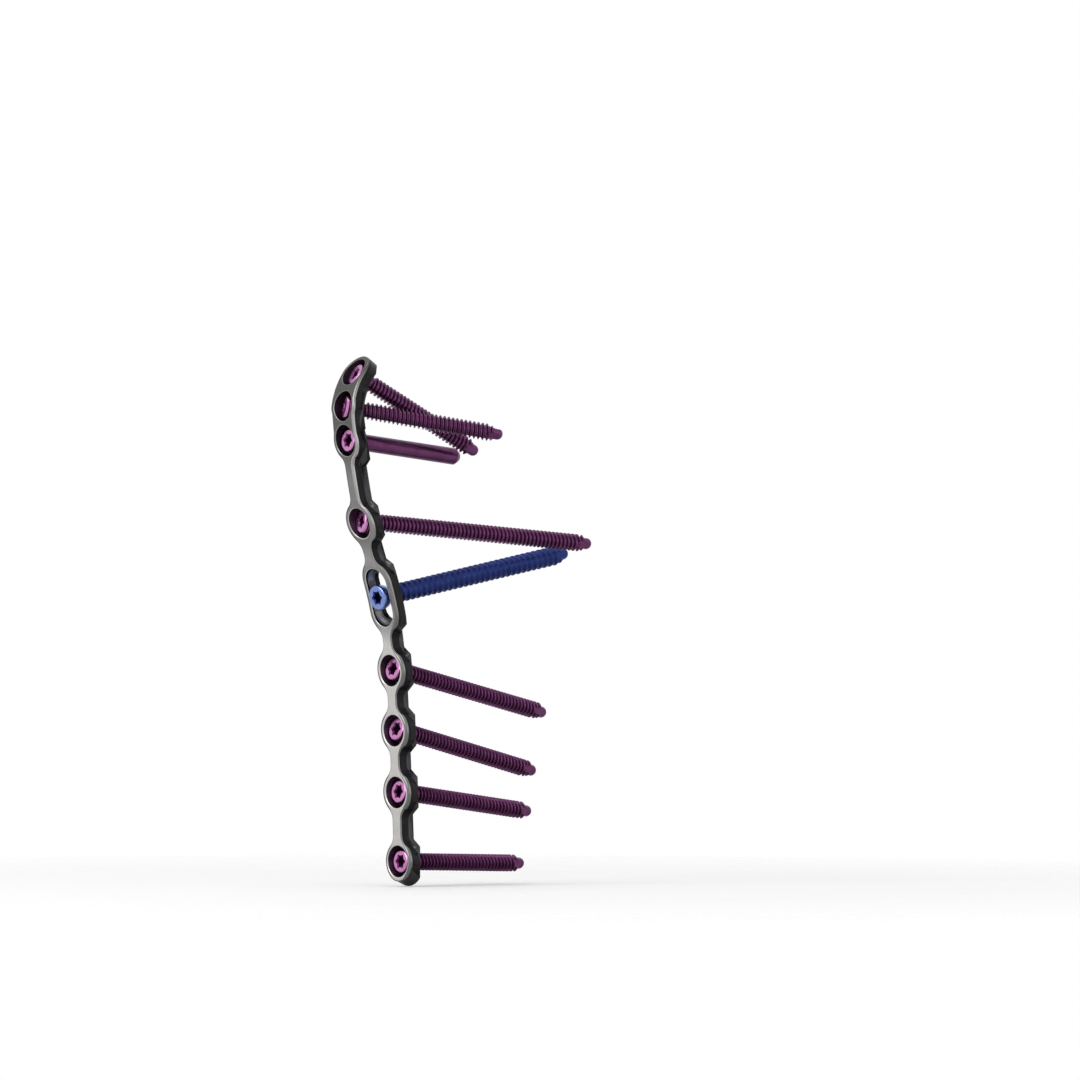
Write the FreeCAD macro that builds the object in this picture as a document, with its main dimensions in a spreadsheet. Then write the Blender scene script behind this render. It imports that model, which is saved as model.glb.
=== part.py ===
import FreeCAD, Part
import Sketcher

import math
import os

# Contoured locking bone plate and its nine screws, in millimetres.
# The outer face looks to -Y, the bone lies on the +Y side and +Z runs up the plate to its head.
# The origin is on the axis of the lowest hole, where that axis leaves the bone side of the plate.

Vector = FreeCAD.Vector
SHEET = "Sizes"

doc = FreeCAD.newDocument("BonePlate")
sheet = doc.addObject("Spreadsheet::Sheet", SHEET)

# The holes from the foot to the head: height of the face up the plate, its rise outwards from the
# foot, its tilt (positive looks up) and its twist about the upright. Angles are in degrees.
HOLES = {
    "shaft_4": {"height": 0.0, "rise": 0.0, "tilt": 0.0, "twist": 0.0},
    "shaft_3": {"height": 9.5, "rise": 0.36, "tilt": -2.5, "twist": 0.0},
    "shaft_2": {"height": 18.0, "rise": 0.77, "tilt": -3.3, "twist": 0.0},
    "shaft_1": {"height": 26.25, "rise": 1.38, "tilt": -6.0, "twist": 0.0},
    "slot": {"height": 36.3, "rise": 3.19, "tilt": -16.5, "twist": 0.0},
    "neck": {"height": 46.4, "rise": 6.8, "tilt": -15.0, "twist": 0.0},
    "head_low": {"height": 57.7, "rise": 9.3, "tilt": -3.0, "twist": -3.0},
    "head_middle": {"height": 62.5, "rise": 9.73, "tilt": 11.0, "twist": -6.0},
    "head_top": {"height": 67.3, "rise": 7.86, "tilt": 35.0, "twist": -7.0},
}
ROUND_BOSSES = ["shaft_3", "shaft_2", "shaft_1", "neck"]
HEAD_BOSSES = ["head_low", "head_middle"]

# Each screw leaves its hole at its own angle: swing to the side and dip towards the foot, in degrees
# from the hole's axis, and reach from the pivot of its round head to its tip.
LOCKING_SCREWS = {
    "head_screw_top": {"hole": "head_top", "swing": 6.9, "dip": -4.3, "reach": 20.6},
    "head_screw_middle": {"hole": "head_middle", "swing": 22.6, "dip": -0.4, "reach": 21.6},
    "neck_screw": {"hole": "neck", "swing": 13.8, "dip": 19.7, "reach": 34.8},
    "shaft_screw_1": {"hole": "shaft_1", "swing": 0.9, "dip": 19.4, "reach": 27.0},
    "shaft_screw_2": {"hole": "shaft_2", "swing": 0.8, "dip": 17.4, "reach": 24.6},
    "shaft_screw_3": {"hole": "shaft_3", "swing": 0.2, "dip": 10.1, "reach": 23.0},
    "shaft_screw_4": {"hole": "shaft_4", "swing": 0.0, "dip": 1.7, "reach": 21.2},
}
PEG = {"head_peg": {"hole": "head_low", "swing": 0.4, "dip": 9.8, "reach": 17.9}}
CORTICAL_SCREW = {"slot_screw": {"hole": "slot", "swing": -2.7, "dip": 6.6, "reach": 35.4}}

SIZES = {
    # outer layer
    "plate_thickness": 1.9,
    "boss_radius": 2.9,
    "head_half_width": 2.75,
    "foot_radius": 2.75,
    "link_width": 1.85,
    "head_web_width": 5.1,
    "waist_fillet": 1.6,
    "head_fillet": 2.0,
    "undercut": 0.25,
    # faceted base on the bone side
    "base_half_width": 2.6,
    "boss_flat": 2.1,
    "slot_flat": 4.35,
    "head_flat": 2.6,
    "tip_flat": 0.9,
    "shoulder_length": 1.0,
    "tip_shoulder_length": 1.5,
    "rail_half_width": 1.3,
    "neck_rail_half_width": 1.5,
    "base_edge": 0.12,
    "base_slope": 0.5,
    "base_corner_inset": 0.2,
    "base_layer_depth": 0.8,
    "foot_flare_top_radius": 2.72,
    "foot_flare_radius": 3.4,
    "foot_pad_stock": 0.05,
    # variable angle holes
    "rim_radius": 2.2,
    "pivot_depth": 1.23,
    "seat_clearance": 0.03,
    "relief_depth": 1.45,
    "relief_radius": 1.95,
    # sliding slot
    "slot_travel": 2.05,
    "slot_rim_radius": 2.1,
    "slot_wall_depth": 0.3,
    "slot_seat_depth": 1.1,
    "slot_bore_radius": 1.5,
    "slot_pivot_depth": 0.11,
    # locking screws and peg
    "screw_head_radius": 1.65,
    "screw_head_rise": 0.75,
    "screw_neck_radius": 0.95,
    "screw_thread_start": 2.0,
    "screw_radius": 1.2,
    "screw_nose_radius": 0.8,
    "screw_nose_length": 1.2,
    "screw_tip_chamfer": 0.4,
    "peg_radius": 1.15,
    "peg_tip_radius": 0.75,
    "peg_tip_length": 0.6,
    # cortical screw
    "cortical_head_radius": 1.72,
    "cortical_head_rise": 0.6,
    "cortical_neck_radius": 1.05,
    "cortical_thread_start": 2.4,
    "cortical_radius": 1.35,
    "cortical_nose_radius": 0.84,
    "cortical_nose_length": 1.3,
    "cortical_tip_chamfer": 0.5,
    # six-lobed drive
    "drive_radius": 0.875,
    "drive_core_radius": 0.66,
    "drive_lobe_radius": 0.2,
    "drive_depth": 1.1,
    # working solids that reach beyond the plate
    "blank_half_width": 4.5,
    "blank_foot": 5.0,
    "blank_tip": 4.0,
    "overrun": 0.8,
    "outline_near": 25.0,
    "outline_depth": 40.0,
    "outline_span": 24.0,
    "tip_outline_depth": 12.0,
}

NECK_RAIL = ["neck", "head_low"]

# The faceted base of each hole: its straight side and its shoulder, towards the foot and the head.
BASE_ENDS = {
    "slot": (("slot_flat", "shoulder_length"), ("slot_flat", "shoulder_length")),
    "head_low": (("head_flat", "shoulder_length"), ("head_flat", "shoulder_length")),
    "head_middle": (("head_flat", "shoulder_length"), ("head_flat", "shoulder_length")),
    "head_top": (("head_flat", "shoulder_length"), ("tip_flat", "tip_shoulder_length")),
}
BOSS_ENDS = (("boss_flat", "shoulder_length"), ("boss_flat", "shoulder_length"))
LOBES = 6
FULL_TURN = 360
EDGE_TOLERANCE = 1e-3


def fill_sheet():
    rows = dict(SIZES)
    for hole, values in HOLES.items():
        rows.update({f"{hole}_{what}": value for what, value in values.items()})
    for screw, values in {**LOCKING_SCREWS, **PEG, **CORTICAL_SCREW}.items():
        rows.update({f"{screw}_{what}": values[what] for what in ("swing", "dip", "reach")})
    for row, (alias, value) in enumerate(rows.items(), start=1):
        sheet.set(f"A{row}", alias)
        sheet.set(f"B{row}", str(value))
        sheet.setAlias(f"B{row}", alias)
    doc.recompute()


def cell(alias):
    """The sheet's cell as it is named inside an expression."""
    return f"{SHEET}.{alias}"


def size(alias):
    return float(sheet.get(alias))


def bind(obj, expressions):
    for path, expression in expressions.items():
        obj.setExpression(path, expression)
    return obj


def place(x="0", y="0", z="0", yaw="0", pitch="0", roll="0"):
    """A placement as an expression, from lengths and angles that are expressions too."""
    vector = f"create(<<vector>>; {x}; {y}; {z})"
    rotation = f"create(<<rotation>>; {yaw}; {pitch}; {roll})"
    return f"create(<<placement>>; {vector}; {rotation})"


def at_hole(hole, **where):
    """A placement in a hole's own frame: Y runs into the bone from the outer face, Z up the plate."""
    return f"{hole}_frame.Placement * {place(**where)}"


def polygon(name, corners, placement):
    """A closed sketch with straight sides, each corner held by its two distances from the origin."""
    sketch = doc.addObject("Sketcher::SketchObject", name)
    bind(sketch, {"Placement": placement})
    doc.recompute()
    points = [Vector(sheet.evalExpression(x), sheet.evalExpression(y)) for x, y in corners]
    for i, start in enumerate(points):
        sketch.addGeometry(Part.LineSegment(start, points[(i + 1) % len(points)]))
    for i, (x, y) in enumerate(corners):
        sketch.addConstraint(Sketcher.Constraint("Coincident", i, 1, (i - 1) % len(points), 2))
        for kind, expression, value in (("DistanceX", x, points[i].x), ("DistanceY", y, points[i].y)):
            index = sketch.addConstraint(Sketcher.Constraint(kind, -1, 1, i, 1, value))
            sketch.setExpression(f"Constraints[{index}]", expression)
    return sketch


def fused(name, shapes):
    union = doc.addObject("Part::MultiFuse", name)
    union.Shapes = shapes
    union.Refine = True
    return union


def common(name, shapes):
    both = doc.addObject("Part::MultiCommon", name)
    both.Shapes = shapes
    return both


def cylinder(name, radius, height, placement):
    return bind(
        doc.addObject("Part::Cylinder", name),
        {"Radius": radius, "Height": height, "Placement": placement},
    )


def cone(name, near_radius, far_radius, height, placement):
    return bind(
        doc.addObject("Part::Cone", name),
        {"Radius1": near_radius, "Radius2": far_radius, "Height": height, "Placement": placement},
    )


def box(name, length, width, height, placement):
    return bind(
        doc.addObject("Part::Box", name),
        {"Length": length, "Width": width, "Height": height, "Placement": placement},
    )


def hole_frames():
    """One placed point for each hole: every section, cutter and screw is set out from these."""
    for hole in HOLES:
        frame = doc.addObject("Part::Vertex", f"{hole}_frame")
        bind(
            frame,
            {
                "Placement": place(
                    y=f"-({cell('plate_thickness')} + {cell(hole + '_rise')})",
                    z=cell(f"{hole}_height"),
                    yaw=cell(f"{hole}_twist"),
                    roll=f"-{cell(hole + '_tilt')}",
                )
            },
        )
    doc.recompute()


def slab(name, near, far, pad_stock="0"):
    """A curved layer of the plate between two depths, lofted through every hole's own section."""
    half = cell("blank_half_width")
    first, last = list(HOLES)[0], list(HOLES)[-1]
    stations = [("foot", first, f"-{cell('blank_foot')}")]
    stations += [(hole, hole, "0") for hole in HOLES]
    stations += [("tip", last, cell("blank_tip"))]
    sections = []
    for station, hole, along in stations:
        deep = f"{far} + {pad_stock}" if hole == first else far
        corners = [(f"-{half}", near), (half, near), (half, deep), (f"-{half}", deep)]
        sections.append(polygon(f"{name}_at_{station}", corners, at_hole(hole, z=along)))
    loft = doc.addObject("Part::Loft", name)
    loft.Sections = sections
    loft.Solid = True
    return loft


def upright(name, hole, radius, along="0"):
    """An outline cylinder through the plate, around one hole."""
    where = place(y=f"-{cell('outline_near')}", z=f"{cell(hole + '_height')} + {along}", roll="-90")
    return cylinder(name, radius, cell("outline_depth"), where)


def web(name, half_width, low, high):
    """An outline block through the plate, between two heights."""
    where = place(x=f"-({half_width})", y=f"-{cell('outline_near')}", z=low)
    return box(name, f"2 * ({half_width})", cell("outline_depth"), f"{high} - ({low})", where)


def full_depth_edges(shape, half_width, depth):
    """The edges through the whole depth of the outline at one half width, counted from 1."""
    found = []
    for index, edge in enumerate(shape.Edges, start=1):
        if edge.isClosed():
            continue
        start, end = (vertex.Point for vertex in edge.Vertexes)
        on_side = abs(abs(start.x) - half_width) < EDGE_TOLERANCE
        through = abs(abs(end.y - start.y) - depth) < EDGE_TOLERANCE
        if on_side and through:
            found.append(f"Edge{index}")
    return found


def rounded_waists(name, outline):
    """The outline with hollow waists where its bosses and its links meet."""
    body = doc.addObject("PartDesign::Body", name)
    body.BaseFeature = outline
    doc.recompute()
    feature = body.Group[0]
    waists = (("link_width", "waist_fillet"), ("head_web_width", "head_fillet"))
    for width, radius in waists:
        edges = full_depth_edges(feature.Shape, size(width) / 2, size("outline_depth"))
        fillet = body.newObject("PartDesign::Fillet", f"{name}_{radius}")
        fillet.Base = (feature, edges)
        bind(fillet, {"Radius": cell(radius)})
        doc.recompute()
        feature = fillet
    return body


def tip_outline():
    """The rounded end of the head, square to its own tilted face."""
    half = cell("head_half_width")
    depth = cell("tip_outline_depth")
    near = f"-{depth} / 2"
    end = cylinder("tip_end", half, depth, at_hole("head_top", y=near, roll="-90"))
    back = box(
        "tip_back",
        f"2 * {half}",
        depth,
        cell("blank_foot"),
        at_hole("head_top", x=f"-{half}", y=near, z=f"-{cell('blank_foot')}"),
    )
    span = cell("outline_span")
    above = box(
        "tip_limit",
        span,
        cell("outline_depth"),
        span,
        place(x=f"-{span} / 2", y=f"-{cell('outline_near')}", z=cell("head_middle_height")),
    )
    return common("tip_outline", [fused("tip_block", [end, back]), above])


def outline():
    """The scalloped outline of the outer layer: round bosses, narrow links and a continuous head."""
    boss = cell("boss_radius")
    travel = cell("slot_travel")
    parts = [upright(f"{hole}_boss", hole, boss) for hole in ROUND_BOSSES]
    parts += [upright(f"{hole}_boss", hole, cell("head_half_width")) for hole in HEAD_BOSSES]
    parts += [upright("shaft_4_boss", "shaft_4", cell("foot_radius"))]
    parts += [upright(f"slot_{end}_boss", "slot", boss, along) for end, along in
              (("low", f"-{travel}"), ("high", travel))]
    low, high = (f"{cell('slot_height')} {sign} {travel}" for sign in "-+")
    parts += [web("slot_web", boss, low, high)]
    link = f"{cell('link_width')} / 2"
    parts += [web("link_web", link, cell("shaft_4_height"), cell("head_low_height"))]
    head = f"{cell('head_web_width')} / 2"
    parts += [web("head_web", head, cell("head_low_height"), cell("head_middle_height"))]
    waisted = rounded_waists("waisted_outline", fused("square_outline", parts))
    return fused("outline", [waisted, tip_outline()])


def base_polygon(name, hole, depth, inset, corner):
    """An eight-sided outline in a hole's own face plane: flat sides with sloping shoulders."""
    side = f"({cell('base_half_width')} - {inset})"
    rail = f"({cell('rail_half_width')} - {corner})"
    (low, low_end), (high, high_end) = (
        (f"({cell(flat)} - {corner})", f"({cell(flat)} + {cell(shoulder)} - {inset})")
        for flat, shoulder in BASE_ENDS.get(hole, BOSS_ENDS)
    )
    right = [(side, f"-{low}"), (side, high), (rail, high_end)]
    left = [(f"-{rail}", high_end), (f"-{side}", high), (f"-{side}", f"-{low}")]
    foot = [(f"-{rail}", f"-{low_end}"), (rail, f"-{low_end}")]
    return polygon(name, right + left + foot, at_hole(hole, y=depth, roll="90"))


def base_block(hole):
    """The faceted base around one hole: it widens towards the bone and ends in a short edge."""
    thick = cell("plate_thickness")
    edge = f"{thick} - {cell('base_edge')}"
    slope = cell("base_slope")
    levels = [
        (f"{edge} - {slope}", slope, cell("base_corner_inset")),
        (edge, "0", "0"),
        (f"{thick} + {cell('overrun')}", "0", "0"),
    ]
    loft = doc.addObject("Part::Loft", f"{hole}_base")
    loft.Sections = [
        base_polygon(f"{hole}_base_{i}", hole, depth, inset, corner)
        for i, (depth, inset, corner) in enumerate(levels)
    ]
    loft.Solid = True
    loft.Ruled = True
    return loft


def base_rail():
    """The narrow faceted rail that runs under the links from the foot to the head."""
    thick = cell("plate_thickness")
    edge = f"{thick} - {cell('base_edge')}"
    slope = cell("base_slope")
    far = f"{thick} + {cell('overrun')}"
    sections = []
    for hole in HOLES:
        half = cell("neck_rail_half_width" if hole in NECK_RAIL else "rail_half_width")
        right = [(f"{half} - {slope}", f"{edge} - {slope}"), (half, edge), (half, far)]
        left = [(f"-{half}", far), (f"-{half}", edge), (f"{slope} - {half}", f"{edge} - {slope}")]
        sections.append(polygon(f"{hole}_rail", right + left, at_hole(hole)))
    loft = doc.addObject("Part::Loft", "base_rail")
    loft.Sections = sections
    loft.Solid = True
    return loft


def base():
    """The lower layer of the plate, which touches the bone only in patches."""
    thick = cell("plate_thickness")
    blocks = [base_block(hole) for hole in HOLES]
    layer = slab("base_slab", f"{thick} - {cell('base_layer_depth')}", thick, cell("foot_pad_stock"))
    return common("base_layer", [layer, fused("base_plan", blocks + [base_rail()])])


def foot_flare():
    """The skirt at the foot, which leaves the round outline below the face and widens to the bone."""
    thick = cell("plate_thickness")
    deep = f"({thick} - {cell('undercut')})"
    half = cell("base_half_width")
    far = cell("foot_flare_radius")
    over = cell("overrun")
    skirt = cone(
        "foot_skirt",
        cell("foot_flare_top_radius"),
        far,
        deep,
        place(y=f"-{deep}", roll="-90"),
    )
    half_space = box(
        "foot_skirt_limit",
        f"2 * {half}",
        f"{thick} + 2 * {over}",
        f"{far} + {over}",
        place(x=f"-{half}", y=f"-({thick} + {over})", z=f"-({far} + {over})"),
    )
    return common("foot_flare", [skirt, half_space])


def along_bore(hole, depth, z="0"):
    """A placement on a hole's axis at a depth below the face, with local Z running to the bone."""
    return at_hole(hole, y=depth, z=z, roll="-90")


def origin_plane(body, role):
    return next(item for item in body.Origin.OriginFeatures if item.Role == role)


def body_sketch(body, name, role):
    sketch = body.newObject("Sketcher::SketchObject", name)
    sketch.AttachmentSupport = [(origin_plane(body, role), "")]
    sketch.MapMode = "FlatFace"
    doc.recompute()
    return sketch


def value(expression):
    return sheet.evalExpression(expression)


def hold(sketch, geometry, point, x=None, y=None):
    """Hold a point of a sketch at its distances from the origin, each an expression."""
    for kind, expression in (("DistanceX", x), ("DistanceY", y)):
        if expression is not None:
            held = Sketcher.Constraint(kind, -1, 1, geometry, point, value(expression))
            sketch.setExpression(f"Constraints[{sketch.addConstraint(held)}]", expression)


def arc(start, end, centre_y):
    """An arc about a point on the axis, from one corner of a profile to the next."""
    angles = [math.atan2(point.y - centre_y, point.x) for point in (start, end)]
    reach = math.hypot(start.x, start.y - centre_y)
    middle = sum(angles) / len(angles)
    halfway = Vector(reach * math.cos(middle), centre_y + reach * math.sin(middle))
    return Part.Arc(start, halfway, end)


def turned(name, corners, arcs):
    """A body turned about its own Y axis. Its profile runs from the axis through the corners and
    back to the axis, straight but for the arcs, which are given by the height of their centres."""
    body = doc.addObject("PartDesign::Body", name)
    sketch = body_sketch(body, f"{name}_profile", "XY_Plane")
    points = [Vector(value(x), value(y)) for x, y in corners]
    count = len(points)
    for i, start in enumerate(points):
        end = points[(i + 1) % count]
        curved = i in arcs
        sketch.addGeometry(arc(start, end, value(arcs[i])) if curved else Part.LineSegment(start, end))
    for i, (x, y) in enumerate(corners):
        sketch.addConstraint(Sketcher.Constraint("Coincident", i, 1, (i - 1) % count, 2))
        hold(sketch, i, 1, x, y)
    for i in arcs:
        hold(sketch, i, 3, x="0")
    turn = body.newObject("PartDesign::Revolution", f"{name}_turned")
    turn.Profile = sketch
    turn.ReferenceAxis = (sketch, ["V_Axis"])
    turn.Angle = FULL_TURN
    doc.recompute()
    return body


def round_hole(hole):
    """The cutter of a variable angle hole: a rim cone, a round seat and a relief to the bone."""
    pivot = cell("pivot_depth")
    over = cell("overrun")
    seat = f"({cell('screw_head_radius')} + {cell('seat_clearance')})"
    rim = cell("rim_radius")
    wide = f"{rim} + {over} * ({rim} - {seat}) / {pivot}"
    relief = cell("relief_depth")
    near = f"sqrt({seat} ^ 2 - ({relief} - {pivot}) ^ 2)"
    run = f"({cell('plate_thickness')} - {relief})"
    far = f"{near} + ({cell('relief_radius')} - {near}) * ({run} + {over}) / {run}"
    bottom = f"{cell('plate_thickness')} + {over}"
    corners = [
        ("0", f"-{over}"),
        (wide, f"-{over}"),
        (seat, pivot),
        (near, relief),
        (far, bottom),
        ("0", bottom),
    ]
    cutter = turned(f"{hole}_hole", corners, {2: pivot})
    return bind(cutter, {"Placement": at_hole(hole)})


def slot_layer(name, near_half, far_half, top, bottom):
    """The straight middle of one layer of the slot, with upright or sloping sides."""
    travel = cell("slot_travel")
    wedge = doc.addObject("Part::Wedge", name)
    return bind(
        wedge,
        {
            "Ymin": top,
            "Ymax": bottom,
            "Xmin": f"-({near_half})",
            "Xmax": near_half,
            "X2min": f"-({far_half})",
            "X2max": far_half,
            "Zmin": f"-{travel}",
            "Zmax": travel,
            "Z2min": f"-{travel}",
            "Z2max": travel,
            "Placement": at_hole("slot"),
        },
    )


def sliding_slot():
    """The cutter of the slot: a recess, a sloping seat that a round head slides on, and a bore."""
    over = cell("overrun")
    wall = cell("slot_wall_depth")
    seat = cell("slot_seat_depth")
    rim = cell("slot_rim_radius")
    bore = cell("slot_bore_radius")
    through = f"{cell('plate_thickness')} + {over}"
    layers = {"recess": (rim, rim, f"-{over}", wall), "ramp": (rim, bore, wall, seat),
              "bore": (bore, bore, seat, through)}
    solids = []
    for layer, (near, far, top, bottom) in layers.items():
        solids.append(slot_layer(f"slot_{layer}_middle", near, far, top, bottom))
        for end, sign in (("low", "-"), ("high", "")):
            where = along_bore("slot", top, f"{sign}{cell('slot_travel')}")
            depth = f"{bottom} - ({top})"
            name = f"slot_{layer}_{end}"
            if near == far:
                solids.append(cylinder(name, near, depth, where))
            else:
                solids.append(cone(name, near, far, depth, where))
    return solids


def foot_pad_cut():
    """Everything beyond the flat pad at the foot, where the plate first lies on the bone."""
    span = cell("outline_span")
    return box("foot_pad_cut", span, span, f"2 * {span}", place(x=f"-{span} / 2", z=f"-{span}"))


def cut(name, base_shape, tool):
    rest = doc.addObject("Part::Cut", name)
    rest.Base = base_shape
    rest.Tool = tool
    return rest


def plate():
    """The whole plate: outer layer, faceted base and foot, less its pad, its holes and its slot."""
    thick = cell("plate_thickness")
    upper = slab("outer_slab", "0", f"{thick} - {cell('undercut')}")
    outer = common("outer_layer", [upper, outline()])
    stock = fused("plate_stock", [outer, base(), foot_flare()])
    resting = cut("plate_on_bone", stock, foot_pad_cut())
    slotted = cut("slotted_plate", resting, fused("slot_cutter", sliding_slot()))
    holes = doc.addObject("Part::MultiFuse", "hole_cutters")
    holes.Shapes = [round_hole(hole) for hole in HOLES if hole != "slot"]
    return cut("plate", slotted, holes)


def six_lobed_drive(body, name, rise):
    """The drive socket: a round core and six lobes around it, sunk in the crown of the head."""
    core = body_sketch(body, f"{name}_drive_core", "XZ_Plane")
    circle = core.addGeometry(Part.Circle(Vector(), Vector(0, 0, 1), size("drive_core_radius")))
    core.addConstraint(Sketcher.Constraint("Coincident", circle, 3, -1, 1))
    bend = core.addConstraint(Sketcher.Constraint("Radius", circle, size("drive_core_radius")))
    core.setExpression(f"Constraints[{bend}]", cell("drive_core_radius"))
    offset = f"{cell('drive_radius')} - {cell('drive_lobe_radius')}"
    lobe = body_sketch(body, f"{name}_drive_lobe", "XZ_Plane")
    centre = Vector(value(offset), 0)
    circle = lobe.addGeometry(Part.Circle(centre, Vector(0, 0, 1), size("drive_lobe_radius")))
    hold(lobe, circle, 3, offset, "0")
    bend = lobe.addConstraint(Sketcher.Constraint("Radius", circle, size("drive_lobe_radius")))
    lobe.setExpression(f"Constraints[{bend}]", cell("drive_lobe_radius"))
    pockets = []
    for sketch in (core, lobe):
        pocket = body.newObject("PartDesign::Pocket", f"{sketch.Name}_pocket")
        pocket.Profile = sketch
        pocket.SideType = "Two sides"
        bind(
            pocket,
            {"Length": f"{cell('drive_depth')} - {rise}", "Length2": f"{rise} + {cell('overrun')}"},
        )
        doc.recompute()
        pockets.append(pocket)
    ring = body.newObject("PartDesign::PolarPattern", f"{name}_drive_lobes")
    ring.Originals = [pockets[-1]]
    ring.Axis = (lobe, ["N_Axis"])
    ring.Angle = FULL_TURN
    ring.Occurrences = LOBES
    return ring


def smooth_start(head, radius):
    """The corner of a screw's profile where its round head meets a smooth shaft."""
    return [(radius, f"sqrt({head} ^ 2 - {radius} ^ 2)")]


def threaded_start(head, neck, start, radius):
    """The slim neck under a round head, up to where the thread reaches its full radius."""
    return smooth_start(head, neck) + [(neck, f"{start} - ({radius} - {neck})"), (radius, start)]


def screw(name, where, pivot, head, rise, start, tail):
    """One screw: a turned body with a driven round head, set in its hole about the head's pivot.
    Its start and its tail are the rest of its profile, above and below the straight shaft."""
    top = (f"sqrt({head} ^ 2 - {rise} ^ 2)", f"-{rise}")
    points, arcs = tail
    corners = [("0", f"-{rise}"), top] + start
    shifted = {len(corners) + i: centre for i, centre in arcs.items()}
    body = turned(name, corners + points, {1: "0", **shifted})
    body.Tip = six_lobed_drive(body, name, rise)
    swing, dip = (cell(f"{name}_{what}") for what in ("swing", "dip"))
    bind(body, {"Placement": at_hole(where, y=pivot, yaw=f"-{swing}", roll=f"-{dip}")})
    return body


def round_nose(name, radius, nose, length, chamfer):
    """The end of a screw: a chamfer and a slim nose with a round end."""
    reach = cell(f"{name}_reach")
    centre = f"{reach} - {nose}"
    points = [
        (radius, f"{reach} - {length} - {chamfer}"),
        (nose, f"{reach} - {length}"),
        (nose, centre),
        ("0", reach),
    ]
    return points, {2: centre}


def flat_tip(name, radius):
    """The end of a peg: a long chamfer and a flat tip."""
    reach = cell(f"{name}_reach")
    points = [
        (radius, f"{reach} - {cell('peg_tip_length')}"),
        (cell("peg_tip_radius"), reach),
        ("0", reach),
    ]
    return points, {}


def screws():
    made = []
    head, rise = (cell(f"screw_head_{what}") for what in ("radius", "rise"))
    shaft = ("neck_radius", "thread_start", "radius")
    tip = ("radius", "nose_radius", "nose_length", "tip_chamfer")
    start = threaded_start(head, *[cell(f"screw_{what}") for what in shaft])
    for name, values in LOCKING_SCREWS.items():
        tail = round_nose(name, *[cell(f"screw_{what}") for what in tip])
        made.append(screw(name, values["hole"], cell("pivot_depth"), head, rise, start, tail))
    for name, values in PEG.items():
        radius = cell("peg_radius")
        start = smooth_start(head, radius)
        tail = flat_tip(name, radius)
        made.append(screw(name, values["hole"], cell("pivot_depth"), head, rise, start, tail))
    head, rise = (cell(f"cortical_head_{what}") for what in ("radius", "rise"))
    for name, values in CORTICAL_SCREW.items():
        start = threaded_start(head, *[cell(f"cortical_{what}") for what in shaft])
        tail = round_nose(name, *[cell(f"cortical_{what}") for what in tip])
        made.append(screw(name, values["hole"], cell("slot_pivot_depth"), head, rise, start, tail))
    return made


def check(obj):
    if "Invalid" in obj.State or "Error" in obj.State:
        raise RuntimeError(f"{obj.Name} is {obj.State}")
    shape = getattr(obj, "Shape", None)
    if shape is not None and (shape.isNull() or not shape.isValid()):
        raise RuntimeError(f"{obj.Name} has no valid shape")


fill_sheet()
hole_frames()
nodes = [plate()] + screws()
doc.recompute()
for obj in doc.Objects:
    if obj.isDerivedFrom("Part::Feature"):
        check(obj)
os.makedirs("parts", exist_ok=True)
for node in nodes:
    node.Label = node.Name
    node.Shape.exportStep(os.path.join("parts", f"{node.Label}.step"))
    print(f"{node.Label}: {node.Shape.Volume:.2f} mm3 in {len(node.Shape.Solids)} solid")
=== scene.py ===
import math

import bmesh
import bpy
import numpy as np
from mathutils import Matrix, Vector
from mathutils.geometry import delaunay_2d_cdt


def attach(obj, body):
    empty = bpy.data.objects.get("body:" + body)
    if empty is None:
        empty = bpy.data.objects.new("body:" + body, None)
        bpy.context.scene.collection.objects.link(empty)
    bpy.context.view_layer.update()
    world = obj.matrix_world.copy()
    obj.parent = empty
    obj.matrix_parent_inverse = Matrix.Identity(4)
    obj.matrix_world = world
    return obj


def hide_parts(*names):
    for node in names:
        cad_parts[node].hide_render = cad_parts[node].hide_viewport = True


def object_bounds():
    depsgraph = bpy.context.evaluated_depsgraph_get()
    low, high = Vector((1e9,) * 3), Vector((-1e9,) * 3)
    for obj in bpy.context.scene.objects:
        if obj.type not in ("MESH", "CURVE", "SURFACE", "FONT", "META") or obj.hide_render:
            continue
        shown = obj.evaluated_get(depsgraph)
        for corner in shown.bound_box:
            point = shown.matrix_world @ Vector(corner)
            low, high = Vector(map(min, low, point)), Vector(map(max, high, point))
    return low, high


# The dressed bone plate. Lengths are in metres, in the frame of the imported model: the outer face
# looks to -Y, the bone lies on the +Y side and +Z runs up the plate.

MM = 0.001
FULL_TURN = 2 * math.pi
WELD = 1e-6
SLIVER = WELD / 10
TINY = 1e-6
WHITE = (1, 1, 1, 1)

# Turned pieces
SEGMENTS = 72
ARC_STEPS = 10
SCREW_SMOOTH_ANGLE = math.radians(32)
HEAD_RISE = 0.75 * MM
HEAD_RADIUS = 1.65 * MM
HEAD_THREAD_DEPTH = 0.09 * MM
HEAD_THREAD_PITCH = 0.36 * MM
HEAD_THREAD_STARTS = 2
HEAD_THREAD_STEPS = 6
HEAD_THREAD_FADE = math.radians(8)
CROWN_CHAMFER = 0.08 * MM
CROWN_BAND = math.radians(9)
TIP_CLEAR = 0.002 * MM

# Six-lobed drive
DRIVE_RADIUS = 0.875 * MM
DRIVE_VALLEY_RADIUS = 0.635 * MM
DRIVE_LOBE_RADIUS = 0.13 * MM
DRIVE_DEPTH = 1.1 * MM
DRIVE_CONE = DRIVE_VALLEY_RADIUS / 3
DRIVE_CHAMFER = 0.19 * MM
DRIVE_LOBES = 6
DRIVE_DRAFT = 0.94

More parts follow.
